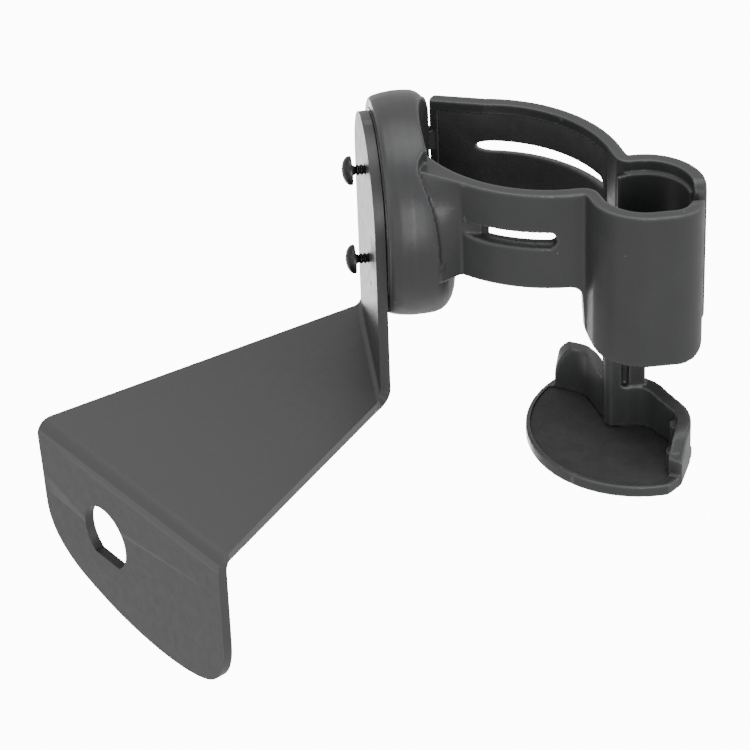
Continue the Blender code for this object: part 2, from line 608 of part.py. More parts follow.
def tray():
    """Floor, wall and grooved stem in one moulding."""
    round_edge = arc(TRAY_CENTRE, TRAY_R, math.radians(128), math.radians(278))
    back = [Vector(p) * MM for p in ((84.5, -74.6), (90.6, -59), (81, -40.9), (67, -40.9), (66, -24), (55.2, -16.4))]
    floor = slab("tray", round_edge + back, *TRAY_FLOOR_Z, PLASTIC)
    soften(floor, 0.9 * MM, 2, 40)
    freeze(floor)
    low, high = TRAY_FLOOR_Z[0] + 1.2 * MM, TRAY_WALL_TOP_Z
    wall = band("tray_wall", wall_path(), low, high, TRAY_WALL_T)
    near = -84 * MM
    side = slab("tray_wall_side", rounded([
        (near, low - 1 * MM, 0), (near, high - 11 * MM, 0), (-72 * MM, high - 10 * MM, 3 * MM),
        (-66 * MM, high, 6 * MM), (-18 * MM, high, 8 * MM), (-15 * MM, low - 1 * MM, 0)]),
        30 * MM, 110 * MM, frame=ALONG_X)
    lobe = slab("tray_lobe_side", rounded([(52.2 * MM, low - 1 * MM, 0), (110 * MM, low - 1 * MM, 0),
                                           (110 * MM, high + 1 * MM, 0), (52.2 * MM, high + 1 * MM, 8 * MM)]),
                0, 100 * MM, frame=ALONG_Y)
    combine(wall, side, "INTERSECT")
    combine(wall, lobe, "INTERSECT")
    freeze(wall)
    soften(wall, 1.1 * MM, 2, 40)
    freeze(wall)
    stem = slab("stem", rounded([(STEM_X[0], STEM_Y[0], 0.8 * MM), (STEM_X[1], STEM_Y[0], 0.8 * MM),
                                 (STEM_X[1], STEM_Y[1], 0.8 * MM), (STEM_X[0], STEM_Y[1], 0.8 * MM)]),
                TRAY_FLOOR_Z[1] - 2 * MM, STEM_TOP_Z)
    middle = (STEM_X[0] + STEM_X[1]) / 2
    groove = slab("groove", [Vector((middle + sx * STEM_GROOVE / 2, y)) for sx, y in
                             ((-1, STEM_Y[0] - 2 * MM), (1, STEM_Y[0] - 2 * MM),
                              (1, STEM_Y[0] + 1.6 * MM), (-1, STEM_Y[0] + 1.6 * MM))],
                  TRAY_FLOOR_Z[1] + 1 * MM, STEM_TOP_Z + 5 * MM)
    cut(stem, groove)
    freeze(stem)
    combine(floor, wall, "UNION")
    combine(floor, stem, "UNION")
    freeze(floor)
    pad = pad_outline(0)
    cut(floor, slab("pad_recess", pad_outline(GAP), TRAY_FLOOR_Z[1] - PAD_T - GAP, TRAY_FLOOR_Z[1] + 3 * MM))
    stop_z = STEM_TOP_Z - 4 * MM
    cut(floor, rod("stop_hole", None, STOP_PIN_R + GAP, STEM_X[0] - 5 * MM, STEM_X[1] + 5 * MM,
                   frame=facing_x((STEM_Y[0] + STEM_Y[1]) / 2 + 0.8 * MM, stop_z)))
    smooth(floor)
    smooth(slab("tray_pad", pad, TRAY_FLOOR_Z[1] - PAD_T, TRAY_FLOOR_Z[1] - 0.5 * MM, FOAM))
    smooth(rod("stem_stop", None, STOP_PIN_R, STEM_X[0] - 2.2 * MM, STEM_X[1] + 2.2 * MM, STEEL,
               frame=facing_x((STEM_Y[0] + STEM_Y[1]) / 2 + 0.8 * MM, stop_z)))


def pad_outline(grow):
    """Foam pad of the tray's floor, short of its lip and wall."""
    radius = TRAY_R - PAD_LIP + grow
    edge = arc(TRAY_CENTRE, radius, math.radians(133), math.radians(269))
    side = [Vector(p) * MM for p in ((79, -73.6), (83.2, -60), (77, -49.6), (69, -47.2), (64.2, -46),
                                     (63, -34), (59.6, -26.6))]
    centre = Vector((62, -52)) * MM
    return edge + [point + (point - centre).normalized() * grow for point in side]


# ---------------------------------------------------------------- stem socket
def stem_socket():
    """Guide that fills the foot of the lug; the stem slides through it."""
    base = arc(SOCKET_CENTRE, SOCKET_R, math.radians(168), math.radians(372))
    socket = slab("stem_socket", base, *SOCKET_Z, PLASTIC)
    hole = [Vector(p) for p in ((STEM_X[0] - GAP, STEM_Y[0] - GAP), (STEM_X[1] + GAP, STEM_Y[0] - GAP),
                                (STEM_X[1] + GAP, STEM_Y[1] + 1.6 * MM), (STEM_X[0] - GAP, STEM_Y[1] + 1.6 * MM))]
    cut(socket, slab("stem_hole", hole, SOCKET_Z[0] - 5 * MM, SOCKET_Z[1] + 5 * MM))
    smooth(socket)
    smooth(slab("stem_clip", [Vector(p) for p in (
        (STEM_X[0] + 2 * MM, STEM_Y[1] + GAP), (STEM_X[1] - 2 * MM, STEM_Y[1] + GAP),
        (STEM_X[1] - 2 * MM, STEM_Y[1] + GAP + CLIP_T), (STEM_X[0] + 2 * MM, STEM_Y[1] + GAP + CLIP_T))],
        SOCKET_Z[0] + 1 * MM, SOCKET_Z[1] + 6 * MM, STEEL))


def front_liner():
    """Foam lining of the front arm."""
    foam = lining("front_liner", front_lined(), 1, FOAM, GAP)
    cut(foam, slot_cutter("front_liner_slot", FRONT_CENTRE, FRONT_R, SLOT_FRONT))
    smooth(foam)


mount_plate()
tab_screws()
base_disc()
swivel_fixing()
holder_body()
rear_arm()
hinge_pin()
front_liner()
stem_socket()
tray()
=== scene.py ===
"""Looks of the swivelling clamp holder on its folded steel bracket.

Lengths are metres.  The shapes are drawn about the swivel axis (x = 0 at the
bracket's tab, +Z up) and moved so that the origin is the fixing hole.
"""
import json
import math
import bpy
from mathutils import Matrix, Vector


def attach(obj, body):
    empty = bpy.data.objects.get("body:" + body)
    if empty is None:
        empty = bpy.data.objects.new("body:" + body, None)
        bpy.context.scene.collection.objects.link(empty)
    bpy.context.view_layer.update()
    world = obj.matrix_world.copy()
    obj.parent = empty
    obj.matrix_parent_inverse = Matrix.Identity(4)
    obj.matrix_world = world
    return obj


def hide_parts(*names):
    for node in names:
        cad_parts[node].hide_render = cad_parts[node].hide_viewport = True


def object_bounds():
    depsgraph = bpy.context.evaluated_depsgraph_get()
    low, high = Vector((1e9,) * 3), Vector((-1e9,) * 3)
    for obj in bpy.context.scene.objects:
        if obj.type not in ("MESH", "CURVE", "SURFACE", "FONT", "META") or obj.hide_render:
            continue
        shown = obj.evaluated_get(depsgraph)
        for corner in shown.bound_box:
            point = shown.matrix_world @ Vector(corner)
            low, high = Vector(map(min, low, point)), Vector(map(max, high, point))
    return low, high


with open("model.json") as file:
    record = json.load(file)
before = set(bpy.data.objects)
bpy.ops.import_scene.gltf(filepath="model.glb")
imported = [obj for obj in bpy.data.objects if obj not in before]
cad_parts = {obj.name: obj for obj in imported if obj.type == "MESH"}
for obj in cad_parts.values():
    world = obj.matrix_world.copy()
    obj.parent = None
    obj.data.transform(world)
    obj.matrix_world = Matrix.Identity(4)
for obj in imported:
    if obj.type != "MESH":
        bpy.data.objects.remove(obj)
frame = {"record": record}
cad_box = [list(corner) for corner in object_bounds()]

import bmesh
import bpy
from mathutils import Matrix, Vector

MM = 0.001
JOINTS = {joint["name"]: joint for joint in frame["record"]["behaviour"]["joints"]}
SWIVEL = Vector(JOINTS["holder_swivel"]["pos_m"])
TO_HOLE = Matrix.Translation(SWIVEL)
FINE = math.radians(2.0)                # step of curved outlines
LONGEST = 1.2 * MM                      # longest step of a fillet
TRIANGLES = 170000                      # most in one moulding

# Bracket
PLATE_T = 3.2 * MM
FOLD_WIDTH = 3.6 * MM
SHEET_EDGE = 0.45 * MM
TAB_HALF_WIDTH = 26.7 * MM
TAB_ARCH_Z = 3.5 * MM
PANEL_TOP_Z = -53.7 * MM
FLANGE_FAR = Vector((-111.8, -23.0)) * MM
FLANGE_NEAR = Vector((-61.5, -103.5)) * MM
D_HOLE_ALONG = 34.4 * MM
D_HOLE_R = 10.75 * MM
D_HOLE_FLAT = 8.75 * MM
SCREW_Y = -4.6 * MM
SCREW_Z = {"upper": 16.3 * MM, "lower": -16.3 * MM}
SCREW_HOLE_R = 2.0 * MM
SCREW_HEAD_X = (-10.6 * MM, -7.4 * MM)
SCREW_TIP_X = 6.8 * MM
THREAD = (1.25 * MM, 1.68 * MM, 1.25 * MM)      # core radius, crest radius, pitch
SMALL_HOLE = (-9 * MM, -23 * MM)                # y, z of the small hole near the fold
SMALL_HOLE_R = 1.1 * MM

# Holder; the drum's outline is x, radius in millimetres, from its front to its back
DRUM_OUTLINE = ((22.0, 0), (21.9, 20), (21.4, 25), (20.6, 28.5), (19.6, 31), (18.2, 33), (16.6, 34.3),
                (14.5, 35.0), (12.0, 35.2), (8.3, 35.3), (4.6, 34.9), (1.6, 34.2), (0.6, 33.5), (0.6, 0))
DRUM_LEAN = 0.06                        # the front leans back towards the top
DRUM_LEAN_X = (9 * MM, 22 * MM)         # where the lean starts and where it is full
DRUM_CUP = (30.7 * MM, -5 * MM, 9.2 * MM)       # hollows from the back: radius, start, end
HUB_HOLE = (9.3 * MM, 5 * MM, 10.7 * MM)
PIVOT_HOLE = (2.0 * MM, 5 * MM, 13.3 * MM)
SEAT_CENTRE = Vector((73.8, -9.0)) * MM
SEAT_R = 60.0 * MM
RIM_Z = 25.0 * MM
ARM_BOTTOM_Z = -8.5 * MM
ARM_T = 4.0 * MM
FRONT_CENTRE = Vector((55.6, 4.0)) * MM
FRONT_R = 46.0 * MM
REAR_CENTRE = Vector((29.7, -27.7)) * MM
REAR_R = 43.5 * MM
REAR_START = Vector((20.5, 20.5)) * MM
LUG_CENTRE = Vector((77.6, -42.4)) * MM
LUG_R = 16.6 * MM
LUG_RIGHT_X = 91.8 * MM
LUG_BOTTOM_Z = -28.8 * MM
FRONT_END_Y = -46.0                     # where the halves of the lug stop, in millimetres
REAR_END_Y = -44.6
HINGE = Vector((16.3, 20.6)) * MM
HINGE_SLOT = (4.2 * MM, 7.1 * MM, 14.2 * MM)    # radius, low, high
HINGE_BORE_R = 1.3 * MM
TONGUE_R = 2.6 * MM
TONGUE_Z = (7.4 * MM, 13.9 * MM)
HINGE_RELIEF = ((19.5, 14), (60, 14), (60, 60), (19.5, 60))     # plans of the rear arm's room
SWING_ROOM = ((17.2, 23.9), (17.2, 25.6), (20.2, 29.4), (24, 32.5), (24, 21.6), (19.7, 21.6))
SLOT_LOW_Z = 6.6 * MM                   # at the middle of the wall; the slot's floor is sloped
SLOT_HIGH_Z = 11.7 * MM
BORDER = 3.6 * MM                       # around the lining, above and below
RECESS = 1.1 * MM
FAR = 60 * MM                           # beyond every piece of the holder

# Tray
TRAY_CENTRE = Vector((75.6, -43.0)) * MM
TRAY_R = 34.9 * MM
FLOOR_Z = (-65.5 * MM, -61.5 * MM)
LIP = 1.5 * MM
WALL_TOP_Z = -46.0 * MM
STEM_X = (65.2 * MM, 77.9 * MM)
STEM_Y = (-45.0 * MM, -38.6 * MM)
STEM_TOP_Z = -5.0 * MM
WALL_T = 4.4 * MM
RIB_R = 2.6 * MM
RIBS = ((85.0, -61.0, -50.6), (82.4, -69.5, -54.5))     # x, y, top

# Stage
AIM = (0.08, 0.02, 0.03)
LAMPS = {                               # place, size, power
    "overhead": ((0.1, 0.15, 1.3), (1.0, 0.9), 8),
    "left": ((-1.2, -0.6, 0.7), (0.7, 1.0), 2),
    "right": ((1.3, -0.4, 0.5), (0.5, 1.0), 7),
    "front": ((0.1, -1.4, 0.35), (0.35, 0.9), 7),
    "low_back": ((-0.25, 1.6, -1.1), (1.0, 0.8), 12),
}


# ---------------------------------------------------------------- outlines
def degrees(*angles):
    """Angles given in degrees, as radians."""
    return [math.radians(a) for a in angles]


def arc(centre, radius, start, end):
    """Points of an arc between two angles, ends included."""
    steps = max(2, math.ceil(abs(end - start) / FINE))
    angles = (start + (end - start) * i / steps for i in range(steps + 1))
    return [centre + radius * Vector((math.cos(a), math.sin(a))) for a in angles]


def rounded(corners, closed=True):
    """Outline through (x, y, radius) corners in millimetres, each with its fillet."""
    outline = []
    count = len(corners)
    for i, (x, y, radius) in enumerate(corners):
        corner = Vector((x, y)) * MM
        if radius == 0 or (not closed and i in (0, count - 1)):
            outline.append(corner)
            continue
        radius *= MM
        before = (Vector(corners[i - 1][:2]) * MM - corner).normalized()
        after = (Vector(corners[(i + 1) % count][:2]) * MM - corner).normalized()
        half = before.angle(after) / 2
        centre = corner + (before + after).normalized() * radius / math.sin(half)
        first = corner + before * radius / math.tan(half) - centre
        last = corner + after * radius / math.tan(half) - centre
        turn = first.angle_signed(last)
        steps = max(3, math.ceil(abs(turn) / (2 * FINE)), math.ceil(abs(turn) * radius / LONGEST))
        outline += [centre + Matrix.Rotation(-turn * k / steps, 2) @ first for k in range(steps + 1)]
    return outline


def smooth(points, steps=6):
    """Smooth curve through points in millimetres, ends included."""
    guides = [Vector(p) * MM for p in (points[0], *points, points[-1])]
    curve = []
    for a, b, c, d in zip(guides, guides[1:], guides[2:], guides[3:]):
        for k in range(steps):
            t = k / steps
            curve.append((2 * b + (c - a) * t + (2 * a - 5 * b + 4 * c - d) * t ** 2
                          + (3 * b - a - 3 * c + d) * t ** 3) / 2)
    return curve + [guides[-1]]


def spaced(points, least=0.05 * MM):
    """The points without repeats."""
    kept = [points[0]]
    for point in points[1:]:
        if (point - kept[-1]).length > least:
            kept.append(point)
    return kept


def beside(path, distance):
    """The path moved to its left."""
    moved = []
    for i, point in enumerate(path):
        along = (path[min(i + 1, len(path) - 1)] - path[max(i - 1, 0)]).normalized()
        moved.append(point + Vector((-along.y, along.x)) * distance)
    return moved


def from_mm(*points):
    """Points given in millimetres, as vectors in metres."""
    return [Vector(point) * MM for point in points]


# ---------------------------------------------------------------- solids
ALONG_Y = Matrix(((1, 0, 0, 0), (0, 0, -1, 0), (0, 1, 0, 0), (0, 0, 0, 1)))
ALONG_X = Matrix(((0, 0, 1, 0), (1, 0, 0, 0), (0, 1, 0, 0), (0, 0, 0, 1)))
TO_NEAR = Matrix(((1, 0, 0, 0), (0, 0, 1, 0), (0, 1, 0, 0), (0, 0, 0, 1)))


def thing(name, mesh):
    """New object in the scene."""
    made = bpy.data.objects.new(name, mesh)
    bpy.context.scene.collection.objects.link(made)
    return made


def mesh_of(work, name="work"):
    """Mesh of a bmesh with its faces turned outwards."""
    bmesh.ops.recalc_face_normals(work, faces=work.faces)
    mesh = bpy.data.meshes.new(name)
    work.to_mesh(mesh)
    work.free()
    return mesh


def slab(outline, low, high, turn=None):
    """Outline with thickness along its own z."""
    work = bmesh.new()
    face = work.faces.new([work.verts.new((p.x, p.y, low)) for p in spaced(outline)])
    swept = bmesh.ops.extrude_face_region(work, geom=[face])["geom"]
    tops = [v for v in swept if isinstance(v, bmesh.types.BMVert)]
    bmesh.ops.translate(work, verts=tops, vec=(0, 0, high - low))
    if turn:
        bmesh.ops.transform(work, matrix=turn, verts=work.verts)
    return thing("slab", mesh_of(work))


def band(path, low, high, thickness):
    """Upright wall of even thickness along a path."""
    path = spaced(path, 0.2 * MM)
    return slab(beside(path, -thickness / 2) + beside(path, thickness / 2)[::-1], low, high)


def turned(profile, turn=None, steps=96):
    """Solid of revolution about its own z from closed (radius, height) points."""
    work = bmesh.new()
    ring = [work.verts.new((r, 0, h)) for r, h in profile]
    edges = [work.edges.new(pair) for pair in zip(ring, ring[1:])]
    if profile[0][0] > 0:
        edges.append(work.edges.new((ring[-1], ring[0])))
    bmesh.ops.spin(work, geom=ring + edges, cent=(0, 0, 0), axis=(0, 0, 1), angle=math.tau, steps=steps,
                   use_merge=True)
    bmesh.ops.remove_doubles(work, verts=work.verts, dist=0.000002)
    if turn:
        bmesh.ops.transform(work, matrix=turn, verts=work.verts)
    return thing("turned", mesh_of(work))


def facing_x(y=0.0, z=0.0):
    """Frame whose z points along the swivel axis, through (y, z)."""
    return Matrix.Translation((0, y, z)) @ ALONG_X


def rod(radius, low, high, turn=None, steps=48):
    """Round bar along its own z."""
    return turned([(0, high), (radius, high), (radius, low), (0, low)], turn, steps)


def swept(sections):
    """Closed solid through a row of rings of equal length."""
    work = bmesh.new()
    rings = [[work.verts.new(p) for p in ring] for ring in sections]
    for one, two in zip(rings, rings[1:]):
        for i in range(len(one)):
            j = (i + 1) % len(one)
            work.faces.new((one[i], one[j], two[j], two[i]))
    work.faces.new(rings[0][::-1])
    work.faces.new(rings[-1])
    return thing("swept", mesh_of(work))


def applied(piece):
    """The object with its modifiers applied."""
    mesh = bpy.data.meshes.new_from_object(piece.evaluated_get(bpy.context.evaluated_depsgraph_get()))
    piece.modifiers.clear()
    piece.data = mesh
    return piece


def drop(*pieces):
    """Remove construction objects."""
    for piece in pieces:
        bpy.data.objects.remove(piece)


def boolean(piece, tools, operation):
    """Combine the piece with each tool in turn; the tools are used up."""
    for tool in tools:
        step = piece.modifiers.new("boolean", "BOOLEAN")
        step.operation = operation
        step.solver = "EXACT"
        step.object = tool
        applied(piece)
    drop(*tools)
    return piece


def cut(piece, *tools):
    """The piece without the tools."""
    return boolean(piece, tools, "DIFFERENCE")


def keep(piece, *tools):
    """What the piece shares with the tools."""
    return boolean(piece, tools, "INTERSECT")


def moulded(name, pieces, voxel, rounds, extra=()):
    """One moulding from overlapping solids, its inner and outer corners softened."""
    work = bmesh.new()
    for piece in pieces:
        work.from_mesh(piece.data)
    drop(*pieces)
    mesh = bpy.data.meshes.new(name)
    work.to_mesh(mesh)
    work.free()
    body = thing(name, mesh)
    grid = body.modifiers.new("voxels", "REMESH")
    grid.mode = "VOXEL"
    grid.voxel_size = voxel
    soft = body.modifiers.new("soften", "SMOOTH")
    soft.factor = 0.5
    soft.iterations = rounds
    applied(body)
    fewer = body.modifiers.new("fewer", "DECIMATE")
    fewer.ratio = min(1.0, TRIANGLES / (2 * len(body.data.polygons)))
    applied(body)
    if extra:
        cut(body, *extra)
    return finished(body, name, 40)


def finished(piece, name, angle=35):
    """Named, moved to the row's frame and smooth-shaded."""
    piece.name = name
    piece.data.name = name
    piece.data.transform(TO_HOLE)
    piece.data.shade_smooth()
    piece.data.set_sharp_from_angle(angle=math.radians(angle))
    return piece


def even_shading(piece):
    """Normals led by the large faces, so that flat faces stay flat beside their bevels."""
    piece.modifiers.new("even", "WEIGHTED_NORMAL").keep_sharp = True
    return applied(piece)


def bevelled(piece, width, segments=3, angle=40):
    """The piece with its sharp edges eased."""
    edges = piece.modifiers.new("edges", "BEVEL")
    edges.width = width
    edges.segments = segments
    edges.limit_method = "ANGLE"
    edges.angle_limit = math.radians(angle)
    return applied(piece)


# ---------------------------------------------------------------- materials
class Look:
    """Principled material whose colour, roughness and bump come from its nodes."""

    def __init__(self, name, roughness, metallic=0.0, specular=0.5):
        self.material = bpy.data.materials.new(name)
        self.material.use_nodes = True
        self.nodes = self.material.node_tree.nodes
        self.links = self.material.node_tree.links
        self.shader = self.nodes["Principled BSDF"]
        self.shader.inputs["Roughness"].default_value = roughness
        self.shader.inputs["Metallic"].default_value = metallic
        self.shader.inputs["Specular IOR Level"].default_value = specular
        self.place = self.nodes.new("ShaderNodeTexCoord").outputs["Object"]

    def noise(self, scale, detail=4.0, rough=0.55):
        """Cloudy pattern, 0 to 1."""
        node = self.nodes.new("ShaderNodeTexNoise")
        node.inputs["Scale"].default_value = scale
        node.inputs["Detail"].default_value = detail
        node.inputs["Roughness"].default_value = rough
        self.links.new(self.place, node.inputs["Vector"])
        return node.outputs["Fac"]

    def cells(self, scale):
        """Distance to scattered points."""
        node = self.nodes.new("ShaderNodeTexVoronoi")
        node.inputs["Scale"].default_value = scale
        self.links.new(self.place, node.inputs["Vector"])
        return node.outputs["Distance"]

    def ramp(self, source, stops):
        """Colours along a 0 to 1 value; a one-number colour is a grey."""
        node = self.nodes.new("ShaderNodeValToRGB")
        while len(node.color_ramp.elements) < len(stops):
            node.color_ramp.elements.new(0.5)
        for element, (at, colour) in zip(node.color_ramp.elements, stops):
            element.position = at
            element.color = (*colour, 1) if len(colour) == 3 else (colour[0],) * 3 + (1,)
        self.links.new(source, node.inputs["Fac"])
        return node.outputs["Color"]

    def span(self, source, low, high, start=0.0, end=1.0):
        """The value moved from start..end to low..high."""
        node = self.nodes.new("ShaderNodeMapRange")
        for key, value in (("From Min", start), ("From Max", end), ("To Min", low), ("To Max", high)):
            node.inputs[key].default_value = value
        self.links.new(source, node.inputs["Value"])
        return node.outputs["Result"]

    def mix(self, amount, first, second, kind="MIX"):
        """Two colours blended by an amount."""
        node = self.nodes.new("ShaderNodeMix")
        node.data_type = "RGBA"
        node.blend_type = kind
        for index, value in ((0, amount), (6, first), (7, second)):
            if isinstance(value, bpy.types.NodeSocket):
                self.links.new(value, node.inputs[index])
            elif index:
                node.inputs[index].default_value = (*value, 1)
            else:
                node.inputs[index].default_value = value
        return node.outputs[2]

    def edge(self, low=0.50, high=0.56):
        """Nearly 0 on flat skin and 1 on convex outer edges: the mask of a painted edge highlight."""
        shape = self.nodes.new("ShaderNodeNewGeometry")
        return self.span(shape.outputs["Pointiness"], 0.0, 1.0, low, high)

    def bump(self, source, distance, strength=1.0, before=None):
        """Relief from a value, on top of an earlier relief."""
        node = self.nodes.new("ShaderNodeBump")
        node.inputs["Distance"].default_value = distance
        node.inputs["Strength"].default_value = strength
        self.links.new(source, node.inputs["Height"])
        if before:
            self.links.new(before, node.inputs["Normal"])
        return node.outputs["Normal"]

    def use(self, colour=None, roughness=None, normal=None):
        """The finished material."""
        for key, source in (("Base Color", colour), ("Roughness", roughness), ("Normal", normal)):
            if source:
                self.links.new(source, self.shader.inputs[key])
        return self.material


def plastic_look():
    """Satin black moulding: fine grain, faint flow marks, a painted highlight on the outer edges, dust
    specks.
    """
    look = Look("moulded_plastic", 0.42, specular=0.5)
    cloudy = look.ramp(look.noise(45, 5), [(0.3, (0.025, 0.0255, 0.0265)), (0.75, (0.031, 0.0315, 0.033))])
    # paler colour on convex outer edges: a painted highlight
    painted_edge_highlight = look.mix(look.edge(), cloudy, (0.06, 0.061, 0.064))
    specks = look.span(look.cells(260), 1.0, 0.0, 0.03, 0.06)
    rare = look.span(look.noise(90, 2), 0.0, 1.0, 0.62, 0.66)
    dust = look.nodes.new("ShaderNodeMath")
    dust.operation = "MULTIPLY"
    look.links.new(specks, dust.inputs[0])
    look.links.new(rare, dust.inputs[1])
    colour = look.mix(dust.outputs[0], painted_edge_highlight, (0.2, 0.2, 0.2))
    grain = look.bump(look.noise(2600, 3), 0.00003, 0.5)
    flow = look.bump(look.noise(30, 2), 0.0004, 0.18, grain)
    return look.use(colour, look.span(look.noise(120, 4), 0.29, 0.42, 0.3, 0.7), flow)


def coating_look():
    """Black powder coat on steel: orange peel, fine sparkle and a painted highlight on the edges."""
    look = Look("powder_coat", 0.5, specular=0.45)
    base = look.ramp(look.noise(25, 5), [(0.3, (0.015, 0.015, 0.016)), (0.75, (0.018, 0.018, 0.019))])
    grit = look.ramp(look.noise(3800, 2), [(0.42, (0.8,)), (0.62, (1.16,))])
    base = look.mix(1.0, base, grit, "MULTIPLY")
    # paler colour on convex edges: a painted highlight
    colour = look.mix(look.edge(), base, (0.07, 0.07, 0.073))
    peel = look.bump(look.noise(1400, 3), 0.00006, 0.45)
    wave = look.bump(look.noise(22, 2), 0.0006, 0.12, peel)
    return look.use(colour, look.span(look.noise(300, 4), 0.36, 0.46, 0.3, 0.7), wave)


def foam_look():
    """Matt foam rubber with small open cells."""
    look = Look("foam_rubber", 0.85, specular=0.25)
    colour = look.ramp(look.noise(160, 6), [(0.3, (0.032, 0.032, 0.033)), (0.7, (0.042, 0.042, 0.043))])
    cells = look.bump(look.cells(2200), 0.00012, 0.6)
    return look.use(colour, look.span(look.noise(700, 3), 0.78, 0.95), cells)


def steel_look(name, low, high, roughness):
    """Plated steel with turning marks and slight tarnish."""
    look = Look(name, roughness, metallic=1.0)
    colour = look.ramp(look.noise(400, 5), [(0.3, low), (0.7, high)])
    marks = look.bump(look.noise(4000, 2), 0.00002, 0.4)
    return look.use(colour, look.span(look.noise(900, 3), roughness - 0.08, roughness + 0.12), marks)


def nylon_look():
    """Natural nylon, slightly milky."""
    look = Look("nylon", 0.5)
    colour = look.ramp(look.noise(300, 3), [(0.3, (0.52, 0.51, 0.47)), (0.7, (0.62, 0.61, 0.57))])
    grain = look.bump(look.noise(2500, 2), 0.00003, 0.3)
    return look.use(colour, look.span(look.noise(900, 3), 0.45, 0.6), grain)


LOOKS = {
    "moulding": plastic_look(),
    "bracket_coating": coating_look(),
    "foam": foam_look(),
    "black_screw": steel_look("black_oxide", (0.035, 0.035, 0.037), (0.06, 0.06, 0.063), 0.34),
    "bright_steel": steel_look("zinc_plate", (0.5, 0.5, 0.52), (0.62, 0.62, 0.63), 0.3),
    "nylon": nylon_look(),
}


def dress(piece, slot, body, *nodes):
    """Give a piece its material, its body and the CAD nodes that it stands for."""
    piece.data.materials.clear()
    piece.data.materials.append(LOOKS[slot])
    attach(piece, body)
    if nodes:
        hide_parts(*nodes)


# ---------------------------------------------------------------- bracket
def bracket_sheet():
    """Folded sheet: arched tab, panel and flange, with rolled folds and eased edges."""
    mid = PLATE_T / 2
    along = (FLANGE_NEAR - FLANGE_FAR).normalized()
    inward = Vector((-along.y, along.x))
    length = (FLANGE_NEAR - FLANGE_FAR).length
    z = PANEL_TOP_Z - mid
    work = bmesh.new()
    near = work.verts.new((-mid, -TAB_HALF_WIDTH, z))
    far = work.verts.new((-mid, TAB_HALF_WIDTH, z))
    ends = [work.verts.new((*(point + inward * mid), z)) for point in (FLANGE_FAR, FLANGE_NEAR)]
    work.faces.new((far, ends[0], ends[1], near))
    arch = arc(Vector((0, TAB_ARCH_Z)), TAB_HALF_WIDTH, math.pi, 0)
    work.faces.new([far, near, *[work.verts.new((-mid, p.x, p.y)) for p in arch]])
    long = length / MM
    edge = smooth([(0.6, -9), (1.2, -17), (1.7, -26), (2.4, -31.5), (4.4, -36.4), (8.6, -41.3),
                   (15.7, -45.7), (24, -48.6), (36, -51.5), (48, -53.2), (60, -53.8), (70, -53.3),
                   (78, -52.1), (84.5, -50.1), (88.7, -47.6), (91.6, -44.3), (93.6, -40.2),
                   (long - 0.2, -35), (long, -28), (long, -12)])
    start = FLANGE_FAR + inward * mid
    work.faces.new([ends[1], ends[0], *[work.verts.new((*(start + along * p.x), z + p.y)) for p in edge]])
    weight = work.edges.layers.float.new("bevel_weight_edge")
    for line in work.edges:
        line[weight] = 1.0 if len(line.link_faces) == 2 else 0.0
    mesh = bpy.data.meshes.new("bracket_sheet")
    work.to_mesh(mesh)
    work.free()
    sheet = thing("bracket_sheet", mesh)
    folds = sheet.modifiers.new("folds", "BEVEL")
    folds.limit_method = "WEIGHT"
    folds.width = FOLD_WIDTH
    folds.segments = 10
    folds.loop_slide = False
    folds.use_clamp_overlap = False
    solid = sheet.modifiers.new("thickness", "SOLIDIFY")
    solid.thickness = PLATE_T
    solid.offset = 0
    solid.use_even_offset = True
    applied(sheet)
    for height in SCREW_Z.values():
        cut(sheet, rod(SCREW_HOLE_R, -2 * PLATE_T, PLATE_T, facing_x(SCREW_Y, height)))
    cut(sheet, rod(SMALL_HOLE_R, -2 * PLATE_T, PLATE_T, facing_x(*SMALL_HOLE), 24))
    side = math.acos(D_HOLE_FLAT / D_HOLE_R)
    hole = arc(Vector((0, 0)), D_HOLE_R, side - math.pi / 2, 1.5 * math.pi - side)
    at = FLANGE_FAR + along * D_HOLE_ALONG
    facing = Matrix.Translation((at.x, at.y, PANEL_TOP_Z - 26 * MM)) @ Matrix((
        (along.x, 0, -inward.x, 0), (along.y, 0, -inward.y, 0), (0, 1, 0, 0), (0, 0, 0, 1)))
    cut(sheet, slab(hole, -9 * MM, 5 * MM, facing))
    bevelled(sheet, SHEET_EDGE, 3, 50)
    even_shading(finished(sheet, "bracket_sheet", 20))
    dress(sheet, "bracket_coating", "bracket", "mount_plate")


def tab_screw(name, height):
    """Truss-head screw with a cross recess and a coarse thread."""
    head_top, under = SCREW_HEAD_X
    tip = SCREW_TIP_X
    core, crest, pitch = THREAD
    thread = [(0, tip), (core * 0.7, tip), (core, tip - 0.5 * MM)]
    turns = int((tip - under - 1.2 * MM) / pitch)
    for i in range(turns):
        top = tip - 0.6 * MM - i * pitch
        thread += [(core, top), (crest, top - 0.42 * pitch), (crest, top - 0.55 * pitch),
                   (core, top - 0.95 * pitch)]
    dome = [(4.6 * MM * math.cos(a), under - 0.6 * MM - 2.5 * MM * math.sin(a))
            for a in degrees(*range(0, 76, 15))]
    neck = [(crest, under + 0.3 * MM), (crest, under), (4.5 * MM, under)]
    profile = thread + neck + dome + [(0, head_top)]
    screw = turned(profile, facing_x(SCREW_Y, height), 48)
    for turn in (20, 110):
        recess = slab(rounded([(-2.4, -0.42, 0.3), (2.4, -0.42, 0.3), (2.4, 0.42, 0.3), (-2.4, 0.42, 0.3)]),
                      head_top - 1 * MM, head_top + 1.5 * MM,
                      facing_x(SCREW_Y, height) @ Matrix.Rotation(math.radians(turn), 4, "Z"))
        cut(screw, recess)
    dress(finished(screw, "threaded_screw_" + name, 30), "black_screw", "bracket", "screw_" + name)


